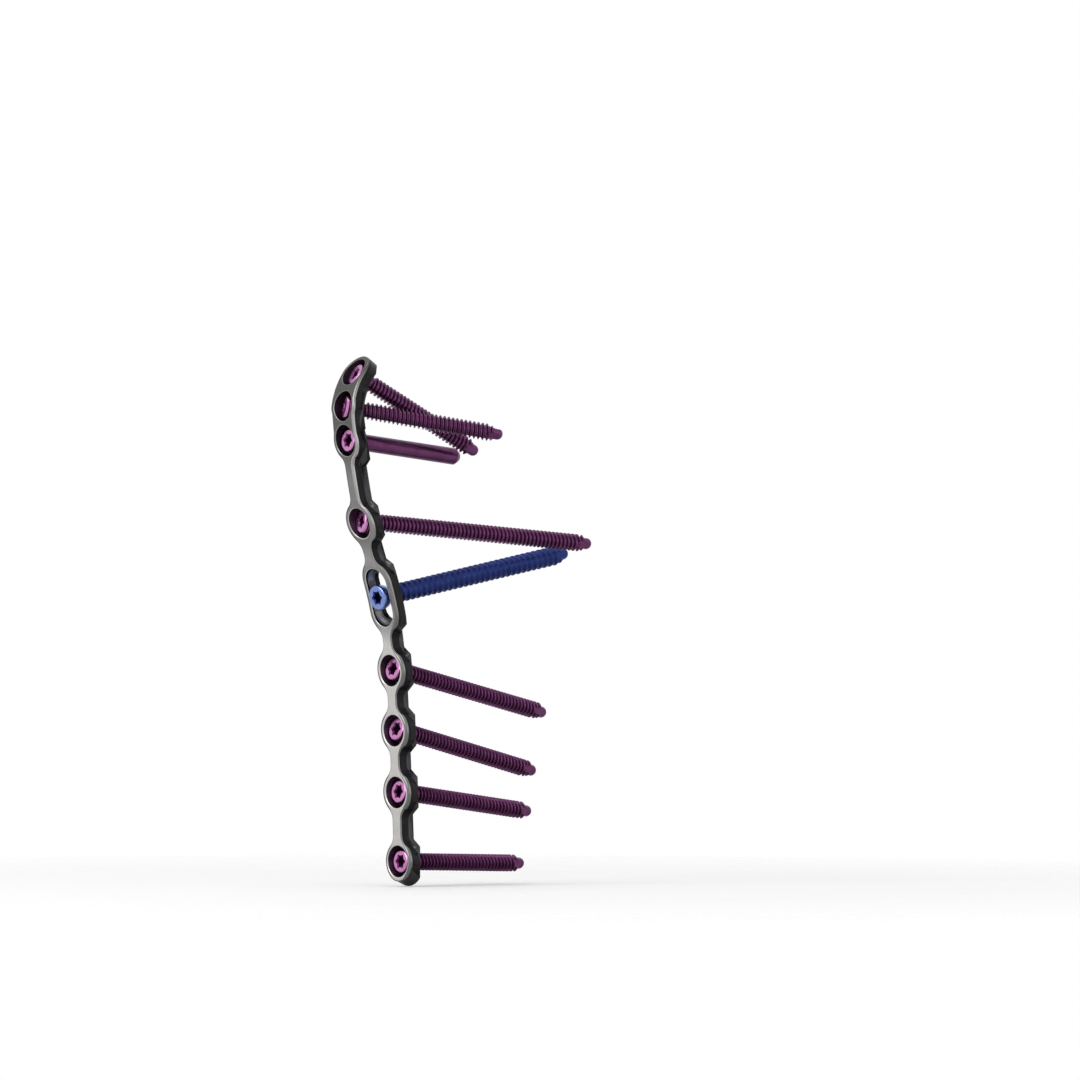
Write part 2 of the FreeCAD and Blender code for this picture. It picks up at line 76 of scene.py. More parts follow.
# Tapping flutes. Each is a flat that sinks over a run towards the axis; its distance from there is
# a share of the radius of the thread's core.
FLUTES = 3
FLUTE_HALF_WIDTH = math.radians(34)
FLUTE_RUN = 0.25
FLUTE_RIM = 1.6
FLUTE_SINK = 0.85

# A thread's profile is its height at places along one pitch, both as shares.
LOCKING = {
    "head_radius": HEAD_RADIUS,
    "head_rise": HEAD_RISE,
    "head_thread": HEAD_THREAD_DEPTH,
    "neck": 0.95 * MM,
    "thread_start": 2.75 * MM,
    "radius": 1.2 * MM,
    "core": 0.88 * MM,
    "pitch": 0.6 * MM,
    "profile": [(0.0, 0.0), (0.16, 0.0), (0.42, 0.93), (0.5, 1.0), (0.58, 0.93), (0.84, 0.0)],
    "nose_radius": 0.79 * MM,
    "nose_length": 1.2 * MM,
    "shoulder": 0.15 * MM,
    "flute_length": 2.6 * MM,
}
CORTICAL = {
    "head_radius": 1.72 * MM,
    "head_rise": 0.6 * MM,
    "head_thread": 0.0,
    "neck": 1.05 * MM,
    "thread_start": 3.0 * MM,
    "radius": 1.35 * MM,
    "core": 0.95 * MM,
    "pitch": 1.0 * MM,
    "profile": [
        (0.0, 0.0),
        (0.14, 0.04),
        (0.28, 0.22),
        (0.4, 0.6),
        (0.5, 0.88),
        (0.6, 1.0),
        (0.7, 0.97),
        (0.8, 0.72),
        (0.88, 0.3),
        (0.94, 0.06),
    ],
    "nose_radius": 0.83 * MM,
    "nose_length": 1.3 * MM,
    "shoulder": 0.18 * MM,
    "flute_length": 3.0 * MM,
}
PEG = {
    "head_radius": HEAD_RADIUS,
    "head_rise": HEAD_RISE,
    "head_thread": HEAD_THREAD_DEPTH,
    "neck": 1.15 * MM,
    "neck_length": 0.1 * MM,
    "radius": 1.15 * MM,
    "tip_radius": 0.75 * MM,
    "tip_length": 0.6 * MM,
}
LOCKING_SCREWS = [
    "head_screw_top",
    "head_screw_middle",
    "neck_screw",
    "shaft_screw_1",
    "shaft_screw_2",
    "shaft_screw_3",
    "shaft_screw_4",
]
# The drive's paint is painted shade, and the shaft's paint is painted shade on a threaded head's
# ball.
HEAD_PAINT, SHAFT_AND_SHADE_PAINT, DRIVE_SHADE_PAINT = range(3)


def smoothstep(value):
    value = np.clip(value, 0.0, 1.0)
    return value * value * (3 - 2 * value)


def unit(vectors):
    return vectors / np.maximum(np.linalg.norm(vectors, axis=1), TINY)[:, None]


def placed(name, data):
    """A new object in the scene."""
    made = bpy.data.objects.new(name, data)
    bpy.context.scene.collection.objects.link(made)
    return made


def welded(mesh, weld, sliver):
    """A mesh to work on, with points that meet joined and faces without area dropped."""
    work = bmesh.new()
    work.from_mesh(mesh)
    bmesh.ops.remove_doubles(work, verts=work.verts, dist=weld)
    bmesh.ops.dissolve_degenerate(work, edges=work.edges, dist=sliver)
    bmesh.ops.recalc_face_normals(work, faces=work.faces)
    return work


def dressed(node, mesh, work, materials, angle):
    """The piece that replaces a node, smooth but for its folds above an angle."""
    work.to_mesh(mesh)
    work.free()
    for material in materials:
        mesh.materials.append(material)
    mesh.shade_smooth()
    mesh.set_sharp_from_angle(angle=angle)
    piece = placed(mesh.name, mesh)
    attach(piece, "root")
    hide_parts(node)
    return piece


def screw_frame(name):
    """The matrix that takes a screw's own axes into the frame: local Z along it from its crown to
    its tip, with the origin in the middle of the crown. It is read from the screw's solid."""
    mesh = bpy.data.objects[name].data
    areas = np.array([face.area for face in mesh.polygons])
    centres = np.array([face.center for face in mesh.polygons])
    middle = (areas[:, None] * centres).sum(0) / areas.sum()
    spread = (centres - middle) * np.sqrt(areas)[:, None]
    axis = np.linalg.svd(spread, full_matrices=False)[2][0]
    axis = axis if axis[1] > 0 else -axis
    points = np.array([vertex.co for vertex in mesh.vertices])
    along = (points - middle) @ axis
    crown = middle + axis * along.min()
    turn = Vector((0, 0, 1)).rotation_difference(Vector(axis)).to_matrix().to_4x4()
    length = float(along.max() - along.min()) - TIP_CLEAR
    return Matrix.Translation(Vector(crown)) @ turn, length


class Skin:
    """A closed skin in the making: points, faces and the material of each face."""

    def __init__(self):
        self.points = []
        self.faces = []
        self.paints = []

    def add(self, points):
        first = len(self.points)
        self.points.extend(tuple(float(c) for c in point) for point in points)
        return list(range(first, len(self.points)))

    def face(self, corners, paint):
        self.faces.append(tuple(corners))
        self.paints.append(paint)

    def strip(self, near, far, paint):
        """A closed band of quads between two rings of the same length."""
        for i in range(len(near)):
            j = (i + 1) % len(near)
            self.face((near[i], near[j], far[j], far[i]), paint)

    def chain(self, last, rings, paint):
        """Bands from a ring on through others that are given by their points."""
        for points in rings:
            ring = self.add(points)
            self.strip(last, ring, paint)
            last = ring
        return last

    def fan(self, ring, centre, paint):
        middle = self.add([centre])[0]
        for i, corner in enumerate(ring):
            self.face((corner, ring[(i + 1) % len(ring)], middle), paint)

    def build(self, node, materials, matrix):
        """The finished piece for a node, taken from its own axes into the frame."""
        mesh = bpy.data.meshes.new(f"{node}_dressed")
        mesh.from_pydata(self.points, [], self.faces)
        mesh.polygons.foreach_set("material_index", self.paints)
        work = welded(mesh, WELD / 2, SLIVER)
        work.transform(matrix)
        return dressed(node, mesh, work, materials, SCREW_SMOOTH_ANGLE)


def turn_angles():
    return np.arange(SEGMENTS) * FULL_TURN / SEGMENTS


def ring_points(radius, along):
    """One ring of a turned piece; the radius is one number or one for each direction."""
    angles = turn_angles()
    radii = np.broadcast_to(radius, angles.shape)
    heights = np.broadcast_to(along, angles.shape)
    return np.stack([radii * np.cos(angles), radii * np.sin(angles), heights], axis=1)


def circle_reach(distance, radius, angles, side):
    """How far a circle is at some angles off its centre, on its far side (1) or near side (-1)."""
    root = np.sqrt(np.maximum(radius * radius - (distance * np.sin(angles)) ** 2, 0))
    return distance * np.cos(angles) + side * root


def hexalobe():
    """The drive's outline as a radius for each direction: round lobes joined by round valleys."""
    half = math.pi / DRIVE_LOBES
    lean = math.cos(half)
    a, b, e = DRIVE_RADIUS - DRIVE_LOBE_RADIUS, DRIVE_VALLEY_RADIUS, DRIVE_LOBE_RADIUS
    valley = (e * e - a * a - b * b + 2 * a * b * lean) / (2 * (b - a * lean - e))
    valley_at = b + valley
    angles = turn_angles() % (2 * half)
    angles = np.minimum(angles, 2 * half - angles)
    lobe = circle_reach(a, e, angles, 1)
    inner = circle_reach(valley_at, valley, half - angles, -1)
    lobe_centre = np.array([a, 0.0])
    valley_centre = valley_at * np.array([lean, math.sin(half)])
    toward = (valley_centre - lobe_centre) / np.linalg.norm(valley_centre - lobe_centre)
    touch = lobe_centre + toward * e
    return np.where(angles < math.atan2(touch[1], touch[0]), lobe, inner)


def drive_socket(skin):
    """The drive with its sunken bottom, its drafted wall and a chamfer at its mouth, all in
    painted shade.
    """
    outline = hexalobe()
    bottom = skin.add(ring_points(outline * DRIVE_DRAFT, DRIVE_DEPTH))
    wall = skin.add(ring_points(outline, DRIVE_CHAMFER))
    mouth = skin.add(ring_points(outline + DRIVE_CHAMFER, 0))
    skin.fan(bottom, (0, 0, DRIVE_DEPTH + DRIVE_CONE), DRIVE_SHADE_PAINT)
    skin.strip(bottom, wall, DRIVE_SHADE_PAINT)
    skin.strip(wall, mouth, DRIVE_SHADE_PAINT)
    return mouth


def head_groove(size, angle, start, end):
    """How deep the thread of a round head lies below its ball, for each direction around it."""
    along = (angle - start) * size["head_radius"] / HEAD_THREAD_PITCH
    turns = HEAD_THREAD_STARTS * turn_angles() / FULL_TURN
    wave = (1 - np.cos(FULL_TURN * (along - turns))) / 2
    fade_in = smoothstep((angle - start) / HEAD_THREAD_FADE)
    fade_out = smoothstep((end - angle) / HEAD_THREAD_FADE)
    return size["head_thread"] * wave * (fade_in * fade_out)


def head_rings(skin, size):
    """The drive socket, the crown and the ball of the head; its last ring and how deep that is."""
    rise = size["head_rise"]
    ball = size["head_radius"]
    rim = math.sqrt(ball**2 - rise**2)
    last = skin.chain(drive_socket(skin), [ring_points(rim - CROWN_CHAMFER, 0)], HEAD_PAINT)
    start = math.atan2(rim, rise) + CROWN_CHAMFER / ball
    band = start + CROWN_BAND
    end = math.pi - math.asin(size["neck"] / ball)
    # On a threaded head the ball below the crown's band takes the shaft's darker plum: painted
    # shade.
    flank = SHAFT_AND_SHADE_PAINT if size["head_thread"] else HEAD_PAINT
    steps = math.ceil((end - band) * ball / HEAD_THREAD_PITCH * HEAD_THREAD_STEPS)
    for angle in [start, *np.linspace(band, end, steps)]:
        radius = ball * math.sin(angle) - head_groove(size, angle, band, end)
        ring = ring_points(radius, rise - ball * math.cos(angle))
        last = skin.chain(last, [ring], HEAD_PAINT if angle <= band else flank)
    return last, rise - ball * math.cos(end)


def fluted(size, points, length):
    """Cuts the tapping flutes near the tip of a screw into points that lie around its axis."""
    radii = np.hypot(points[:, 0], points[:, 1])
    angles = np.arctan2(points[:, 1], points[:, 0])
    beyond = points[:, 2] - (length - size["flute_length"])
    depth = smoothstep(beyond / (FLUTE_RUN * size["flute_length"]))
    sector = FULL_TURN / FLUTES
    off = (angles + sector / 2) % sector - sector / 2
    flat = size["core"] * (FLUTE_RIM - FLUTE_SINK * depth) / np.cos(off)
    cuts = (np.abs(off) < FLUTE_HALF_WIDTH) & (beyond > 0)
    shares = np.where(cuts, np.minimum(radii, flat), radii) / radii
    return points * np.stack([shares, shares, np.ones_like(shares)], axis=1)


def thread(skin, size, start, end, length):
    """A helical thread whose rows of faces run along the helix, with a run-out at each end."""
    steps = len(size["profile"])
    pitch = size["pitch"]
    height = size["radius"] - size["core"]
    turns = math.ceil((end - start) / pitch) + 1
    rows = []
    for row in range(-steps, turns * steps):
        phase, crest = size["profile"][row % steps]
        along = start + pitch * (row // steps + phase + np.arange(SEGMENTS) / SEGMENTS)
        along = np.clip(along, start, end)
        grow = smoothstep((along - start) / pitch) * smoothstep((end - along) / (pitch / 2))
        radius = size["core"] + height * crest * grow
        rows.append(skin.add(fluted(size, ring_points(radius, along), length)))
    for row in range(len(rows) - 1):
        near, far = rows[row], rows[row + 1]
        for i in range(SEGMENTS - 1):
            skin.face((near[i], near[i + 1], far[i + 1], far[i]), SHAFT_AND_SHADE_PAINT)
        near_next = rows[min(row + steps, len(rows) - 1)]
        far_next = rows[min(row + 1 + steps, len(rows) - 1)]
        skin.face((near[-1], near_next[0], far_next[0], far[-1]), SHAFT_AND_SHADE_PAINT)


def threaded_screw(name, size, materials):
    """A screw with its drive, round head, thread, tapping flutes and round nose."""
    matrix, length = screw_frame(name)
    skin = Skin()
    core, nose = size["core"], size["nose_radius"]
    start = size["thread_start"] - size["pitch"] / 2
    end = length - size["nose_length"] - size["shoulder"]
    skin.chain(head_rings(skin, size)[0], [ring_points(core, start)], SHAFT_AND_SHADE_PAINT)
    thread(skin, size, start, end, length)
    rings = [ring_points(nose, end + size["shoulder"])]
    for angle in np.linspace(0, math.pi / 2, ARC_STEPS)[:-1]:
        along = length - nose * (1 - math.sin(angle))
        rings.append(ring_points(nose * math.cos(angle), along))
    last = skin.add(fluted(size, ring_points(core, end), length))
    last = skin.chain(last, [fluted(size, ring, length) for ring in rings], SHAFT_AND_SHADE_PAINT)
    skin.fan(last, (0, 0, length), SHAFT_AND_SHADE_PAINT)
    return skin.build(name, materials, matrix)


def smooth_peg(name, materials):
    """The peg: the same head as the screws on a smooth shaft with a long chamfer at its tip."""
    matrix, length = screw_frame(name)
    skin = Skin()
    last, neck = head_rings(skin, PEG)
    rings = [
        ring_points(PEG["radius"], neck + PEG["neck_length"]),
        ring_points(PEG["radius"], length - PEG["tip_length"]),
        ring_points(PEG["tip_radius"], length),
    ]
    skin.fan(skin.chain(last, rings, SHAFT_AND_SHADE_PAINT), (0, 0, length), SHAFT_AND_SHADE_PAINT)
    return skin.build(name, materials, matrix)


# Plate skin. Folds above the BREAK angles end a region, and the LEAN values are parts of a facet's
# unit normal.
OUTER = Vector((0, -1, 0))
FACE_BREAK = math.radians(20)
BORE_BREAK = math.radians(48)
BEVEL_SHADE_LEAN = 0.2
FLARE_LEAN = 0.35
BONE_LEAN = 0.72
SLOT_SPAN = (31.5 * MM, 41 * MM)
PLATE_SMOOTH_ANGLE = math.radians(28)
# The plate's paints: its face, painted highlights on lips and edges, and painted shade on the
# bevel, walls, flare, bone side and bores.
PLATE_PAINTS = [
    "plate_face",
    "plate_lip_painted_highlight",
    "plate_edge_painted_highlight",
    "plate_bevel_painted_shade",
    "plate_wall_painted_shade",
    "plate_flare_painted_shade",
    "plate_base_painted_shade",
    "plate_bore_painted_shade",
]
FACE_PAINT, LIP_HIGHLIGHT_PAINT, EDGE_HIGHLIGHT_PAINT, BEVEL_SHADE_PAINT = range(4)
WALL_SHADE_PAINT, FLARE_SHADE_PAINT, BASE_SHADE_PAINT, BORE_SHADE_PAINT = range(4, 8)

# Rounded edges: how wide they are along the links, the bosses, the head and the rims of the holes.
# A boss begins where the plate is that wide on each side, the head at that height.
EDGE_ROUND_LINK = 0.16 * MM
EDGE_ROUND_BOSS = 0.42 * MM
EDGE_ROUND_HEAD = 0.34 * MM
RIM_ROUND = 0.09 * MM
BOSS_FROM = (1.0 * MM, 2.2 * MM)
HEAD_FROM = (40 * MM, 52 * MM)
EDGE_STEPS = 4
MITRE_LIMIT = 0.6

# The outer face between them
FACE_GRID = 0.3 * MM
FACE_CLEAR = 0.11 * MM
FACE_KNOTS = 42
FACE_PROBE = MM / 100
FIT_CUTOFF = 1e-7

# The tip's outline starts with a small step on the left of the head, which is eased over a run.
STEP_HEIGHT = 62.53 * MM
STEP_WIDTH = 0.21 * MM
STEP_RUN = 2.6 * MM
STEP_INSIDE = 2.3 * MM
STEP_OUTSIDE = 2.96 * MM
STEP_BLEND = 0.4 * MM
STEP_WELD = 0.06 * MM


def ease_step(work):
    """Eases the step in the head's left side and welds the points that meet there."""
    near = []
    for vertex in work.verts:
        below = STEP_HEIGHT - vertex.co.z
        if vertex.co.x < -STEP_INSIDE and -STEP_WELD < below < STEP_RUN:
            run = smoothstep(1 - below / STEP_RUN) if below > 0 else 0
            beside = smoothstep((-vertex.co.x - STEP_INSIDE) / STEP_BLEND)
            vertex.co.x = max(vertex.co.x - STEP_WIDTH * run * beside, -STEP_OUTSIDE)
            near.append(vertex)
    bmesh.ops.remove_doubles(work, verts=near, dist=STEP_WELD)
    bmesh.ops.recalc_face_normals(work, faces=work.faces)


def reached(seeds, limit, barred=frozenset()):
    """All facets that can be reached from some others without crossing a fold above a limit."""
    found = set(seeds)
    queue = list(seeds)
    while queue:
        facet = queue.pop()
        for edge in facet.edges:
            for other in edge.link_faces:
                if other in found or other in barred:
                    continue
                if other.normal.angle(facet.normal) < limit:
                    found.add(other)
                    queue.append(other)
    return found


def outer_region(work):
    """The facets of the outer face of the plate: all that its largest facet reaches smoothly. They
    are the keys of a dict, which keeps them in the order of the mesh."""
    level = (facet for facet in work.faces if facet.normal.dot(OUTER) > math.cos(FACE_BREAK))
    found = reached([max(level, key=lambda facet: facet.calc_area())], FACE_BREAK)
    return dict.fromkeys(facet for facet in work.faces if facet in found)


def looped(ring):
    """Each item of a closed ring with the one that follows it."""
    return zip(ring, ring[1:] + ring[:1])


def beside_rim(vertex, other, region):
    """The facets at the edge between two vertices that lie outside a region."""
    edge = next(edge for edge in vertex.link_edges if edge.other_vert(vertex) is other)
    return [link for link in edge.link_faces if link not in region]


def bore_region(work, rings, region):
    """The facets inside the holes and the slot, reached from their rims on the outer face."""
    seeds = set()
    for ring in rings:
        for vertex, following in looped(ring):
            seeds |= set(beside_rim(vertex, following, region))
    bone_side = {facet for facet in work.faces if facet.normal.y > BONE_LEAN}
    return reached(seeds, BORE_BREAK, bone_side)


def rims(region):
    """The closed edges of the outer face, each a list of vertices in order."""
    border = {}
    for facet in region:
        for loop in facet.loops:
            if any(link not in region for link in loop.edge.link_faces):
                border[loop.vert] = loop.link_loop_next.vert
    found = []
    while border:
        start, following = border.popitem()
        ring = [start]
        while following is not start:
            ring.append(following)
            following = border.pop(following)
        found.append(ring)
    return found


def perimeter(ring):
    return sum((a.co - b.co).length for a, b in looped(ring))


class Face:
    """The outer face as one smooth surface: y = f(z) + x g(z), both of them cubic splines."""

    def __init__(self, points):
        self.low, self.high = points[:, 2].min() - MM, points[:, 2].max() + MM
        basis = self.basis(points[:, 2])
        terms = np.hstack([basis, basis * points[:, :1] / MM])
        weights = np.linalg.lstsq(terms, points[:, 1] / MM, rcond=FIT_CUTOFF)[0] * MM
        self.middle, self.slope = weights[:FACE_KNOTS], weights[FACE_KNOTS:] / MM

    def basis(self, heights):
        """The share that each of the evenly spread cubic splines has at some heights."""
        step = (self.high - self.low) / (FACE_KNOTS - 3)
        away = np.abs((heights - self.low)[:, None] / step - np.arange(FACE_KNOTS) + 1)
        near = 2 / 3 - away**2 + away**3 / 2
        far = np.maximum(2 - away, 0) ** 3 / 6
        return np.where(away < 1, near, far)

    def at(self, across, heights):
        basis = self.basis(heights)
        return basis @ self.middle + across * (basis @ self.slope)

    def normal(self, across, heights):
        """The outward normal, from small steps across and up the face."""
        here = self.at(across, heights)
        sideways = (self.at(across + FACE_PROBE, heights) - here) / FACE_PROBE
        upwards = (self.at(across, heights + FACE_PROBE) - here) / FACE_PROBE
        return unit(np.stack([sideways, -np.ones_like(here), upwards], axis=1))


def wall_normals(ring, region):
    """At each vertex of a rim, the mitred normal of the two walls that meet there."""
    found = []
    for i, vertex in enumerate(ring):
        sides = []
        for other in (ring[i - 1], ring[(i + 1) % len(ring)]):
            sides += [link.normal for link in beside_rim(vertex, other, region)]
        total = sum(sides, Vector())
        spread = max(total.length / len(sides), MITRE_LIMIT)
        found.append(total.normalized() / spread)
    return np.array(found)


def grown(values, span):
    """A smooth rise from 0 to 1 over a span of values."""
    return smoothstep((values - span[0]) / (span[1] - span[0]))


def round_widths(points, is_outline):
    """How wide the rounding of an edge is at each of its points."""
    if not is_outline:
        return np.full(len(points), RIM_ROUND)
    boss = grown(np.abs(points[:, 0]), BOSS_FROM)
    head = grown(points[:, 2], HEAD_FROM)
    shaft_width = EDGE_ROUND_LINK + (EDGE_ROUND_BOSS - EDGE_ROUND_LINK) * boss
    return shaft_width + (EDGE_ROUND_HEAD - shaft_width) * head


def edge_paints(walls, is_outline):
    """Each stretch of a rounded edge: lip or edge in painted highlight, or bevel in painted shade.
    """
    if not is_outline:
        # Lips of the holes: lighter than the face, a painted highlight.
        return [LIP_HIGHLIGHT_PAINT] * len(walls)
    # Where an edge's wall faces -X it is painted dark, painted shade on that side; the rest gets
    # the painted highlight.
    return [BEVEL_SHADE_PAINT if wall[0] < -BEVEL_SHADE_LEAN else EDGE_HIGHLIGHT_PAINT for wall in walls]


def inside(points, polygon):
    """Which of the points lie inside a closed outline, both in the X-Z plane."""
    result = np.zeros(len(points), bool)
    x, z = points[:, 0], points[:, 1]
    ends = np.roll(polygon, -1, axis=0)
    for (ax, az), (bx, bz) in zip(polygon, ends):
        if az != bz:
            crosses = (az > z) != (bz > z)
            result ^= crosses & (x < (bx - ax) * (z - az) / (bz - az) + ax)
    return result


def on_face(points, outlines):
    """Which of the points lie inside the last of some outlines and outside all the others."""
    result = inside(points, outlines[-1])
    for hole in outlines[:-1]:
        result &= ~inside(points, hole)
    return result


def face_grid(outlines):
    """Evenly spread points on the face, in rows of triangles, that keep clear of all its edges."""
    low, high = outlines[-1].min(0), outlines[-1].max(0)
    across = np.arange(low[0], high[0], FACE_GRID)
    heights = np.arange(low[1], high[1], FACE_GRID * math.sqrt(3) / 2)
    grid = np.stack(np.meshgrid(across, heights), axis=2)
    grid[1::2, :, 0] += FACE_GRID / 2
    grid = grid.reshape(-1, 2)
    grid = grid[on_face(grid, outlines)]
    edges = np.concatenate(outlines)
    gaps = [np.min(np.hypot(*(edges - point).T)) for point in grid]
    return grid[np.array(gaps) > FACE_CLEAR]


def fill_face(outlines):
    """Triangles that cover the face between its holes and its outline, which comes last, seen
    along Y: their corners, the three of each triangle and the given points that each corner is."""
    edges = []
    for outline in outlines:
        first, count = len(edges), len(outline)
        edges += [(first + i, first + (i + 1) % count) for i in range(count)]
    points = [Vector(point) for point in np.concatenate([*outlines, face_grid(outlines)])]
    cover = delaunay_2d_cdt(points, edges, [], 0, SLIVER, True)
    places, triangles, origins = np.array(cover[0]), np.array(cover[2]), cover[3]
    centres = places[triangles].mean(axis=1)
    return places, triangles[on_face(centres, outlines)], origins


def add_facet(work, corners, paint):
    """Adds a facet, unless two of its corners are one or it is there already."""
    if len(set(corners)) == len(corners) and work.faces.get(corners) is None:
        work.faces.new(corners).material_index = paint


def join_rings(work, near, far, paints):
    for i, paint in enumerate(paints):
        j = (i + 1) % len(near)
        add_facet(work, [near[i], near[j], far[j], far[i]], paint)


def edge_profile(ring, region, surface, is_outline):
    """The points of an edge, those where its rounding meets the face and the wall, and the finish
    of each stretch."""
    points = np.array([vertex.co for vertex in ring])
    widths = round_widths(points, is_outline)[:, None]
    mitred = wall_normals(ring, region)
    reach = np.linalg.norm(mitred, axis=1)[:, None]
    walls = mitred / reach
    tops = surface.normal(points[:, 0], points[:, 2])
    shared = (walls * tops).sum(1)[:, None]
    top = points - unit(walls - shared * tops) * reach * widths
    top[:, 1] = surface.at(top[:, 0], top[:, 2])
    bottom = points - unit(tops - shared * walls) * widths
    return points, top, bottom, edge_paints(walls, is_outline)


def round_edges(work, region, rings):
    """Rounds every edge of the outer face and lays the face anew between the rounded edges. The
    plate's own outline comes last among the rings."""
    touched = dict.fromkeys(vertex for facet in region for vertex in facet.verts)
    surface = Face(np.array([vertex.co for vertex in touched]))
    profiles = [edge_profile(ring, region, surface, ring is rings[-1]) for ring in rings]
    bmesh.ops.delete(work, geom=list(region), context="FACES_ONLY")
    rim_verts = []
    for ring, (points, top, bottom, paints) in zip(rings, profiles):
        last = ring
        for step in np.linspace(0, 1, EDGE_STEPS + 1)[1:]:
            curve = (1 - step) ** 2 * bottom + 2 * step * (1 - step) * points + step**2 * top
            row = [work.verts.new(point) for point in curve]
            join_rings(work, last, row, paints)
            last = row
        for vertex, point in zip(ring, bottom):
            vertex.co = point
        rim_verts += last
    places, triangles, origins = fill_face([profile[1][:, [0, 2]] for profile in profiles])
    heights = surface.at(places[:, 0], places[:, 1])
    verts = []
    for place, height, origin in zip(places, heights, origins):
        known = [index for index in origin if index < len(rim_verts)]
        point = (place[0], height, place[1])
        verts.append(rim_verts[known[0]] if known else work.verts.new(point))
    for corners in triangles:
        add_facet(work, [verts[corner] for corner in corners], FACE_PAINT)


def paint_walls(work, bores):
    """Gives each facet a painted shade: wall, flare, bone side or inside of a hole."""
    for facet in work.faces:
        # Inside the holes: near black, painted shade; in the slot its ramps and walls take the
        # bone side's and the walls' painted shade.
        if facet in bores:
            in_slot = SLOT_SPAN[0] < facet.calc_center_median().z < SLOT_SPAN[1]
            ramp = facet.normal.y < -FLARE_LEAN
            slot_paint = BASE_SHADE_PAINT if ramp else WALL_SHADE_PAINT
            facet.material_index = slot_paint if in_slot else BORE_SHADE_PAINT
        # The bone side: a darker grey copy of the face's metal, painted shade.
        elif facet.normal.y > BONE_LEAN:
            facet.material_index = BASE_SHADE_PAINT
        # Facets that slope out from the face below its edge: painted shade.
        elif facet.normal.y < -FLARE_LEAN:
            facet.material_index = FLARE_SHADE_PAINT
        else:
            # Everything else is a wall, painted near black: painted shade.
            facet.material_index = WALL_SHADE_PAINT


def dress_plate(materials):
    work = welded(bpy.data.objects["plate"].data, WELD, WELD)
    ease_step(work)
    region = outer_region(work)
    rings = sorted(rims(region), key=perimeter)
    paint_walls(work, bore_region(work, rings[:-1], region))
    round_edges(work, region, rings)
    bmesh.ops.recalc_face_normals(work, faces=work.faces)
    mesh = bpy.data.meshes.new("plate_dressed")
    return dressed("plate", mesh, work, materials, PLATE_SMOOTH_ANGLE)


# Materials
TINT_GRAINS = 14
TINT_DETAIL = 4
FINE_DETAIL = 6
RAMP_ENDS = (0.3, 0.7)
RELIEF = 0.01 * MM
BRUSH_GRAIN = 0.12 * MM
ANODISED_GRAIN = 0.09 * MM

# Painted shade up the plate, darkest towards the head's end, with a few lighter bands that stand
# for painted highlights: heights, and the share of the colour there.
PAINTED_SHADE_UP_PLATE = {
    "plate_face": [
        (30 * MM, 1.0),
        (33 * MM, 0.45),
        (39.5 * MM, 0.42),
        (41.5 * MM, 0.6),
        (44 * MM, 0.35),
        (52 * MM, 0.4),
        (56 * MM, 0.22),
        (62 * MM, 0.19),
        (70 * MM, 0.1),
    ],
    "plate_lip_painted_highlight": [
        (40 * MM, 1.0),
        (50 * MM, 0.7),
        (56 * MM, 0.44),
        (62 * MM, 0.36),
        (68 * MM, 0.2),
    ],
    "plate_edge_painted_highlight": [
        (34 * MM, 0.3),
        (46 * MM, 0.45),
        (56 * MM, 0.65),
        (62 * MM, 0.5),
        (68 * MM, 0.14),
    ],
    "plate_bore_painted_shade": [(50 * MM, 1.0), (56 * MM, 0.35)],
}
METALS = {
    "plate_face": dict(base=(0.55, 0.54, 0.525), spread=0.05, rough=(0.3, 0.42), bump=0.35),
    # Lips of the holes: a painted highlight.
    "plate_lip_painted_highlight": dict(base=(0.62, 0.61, 0.6), spread=0.05, rough=(0.22, 0.32), bump=0.25),
    # Rounded outline edges: lighter than the face, a painted highlight.
    "plate_edge_painted_highlight": dict(base=(0.62, 0.61, 0.6), spread=0.05, rough=(0.22, 0.32), bump=0.25),
    # A dark bevel on edges whose wall faces -X: painted shade.
    "plate_bevel_painted_shade": dict(base=(0.06, 0.06, 0.062), spread=0.1, rough=(0.3, 0.4), bump=0.25),
    # Near black walls: a dark copy of the face's metal, painted shade and painted reflection of a
    # dark surround.
    "plate_wall_painted_shade": dict(base=(0.018, 0.018, 0.02), spread=0.25, rough=(0.35, 0.5), bump=0.4),
    # The flare: near black, painted shade.
    "plate_flare_painted_shade": dict(base=(0.055, 0.055, 0.057), spread=0.15, rough=(0.3, 0.42), bump=0.4),
    # Bone side and slot ramps: darker grey, painted shade.
    "plate_base_painted_shade": dict(base=(0.2, 0.2, 0.2), spread=0.1, rough=(0.35, 0.48), bump=0.4),
    # Inside the holes: near black with a purple cast, painted shade and a painted reflection of
    # the screws.
    "plate_bore_painted_shade": dict(base=(0.042, 0.02, 0.04), spread=0.3, rough=(0.3, 0.45), bump=0.3),
    "locking_head": dict(base=(0.56, 0.23, 0.48), spread=0.08, rough=(0.22, 0.32), bump=0.2),
    # The threads' darker plum; on the ball side of a threaded head it is painted shade.
    "locking_shaft_and_shade": dict(base=(0.12, 0.038, 0.105), spread=0.18, rough=(0.28, 0.4), bump=0.3),
    # Drive sockets: darker than the head, painted shade in the recess.
    "locking_drive_painted_shade": dict(base=(0.15, 0.035, 0.13), spread=0.2, rough=(0.35, 0.5), bump=0.3),
    "slot_head": dict(base=(0.2, 0.27, 0.6), spread=0.08, rough=(0.22, 0.32), bump=0.2),
    "slot_shaft": dict(base=(0.022, 0.034, 0.14), spread=0.18, rough=(0.28, 0.4), bump=0.3),
    # Drive socket: darker than the head, painted shade in the recess.
    "slot_drive_painted_shade": dict(base=(0.025, 0.045, 0.16), spread=0.2, rough=(0.35, 0.5), bump=0.3),
}


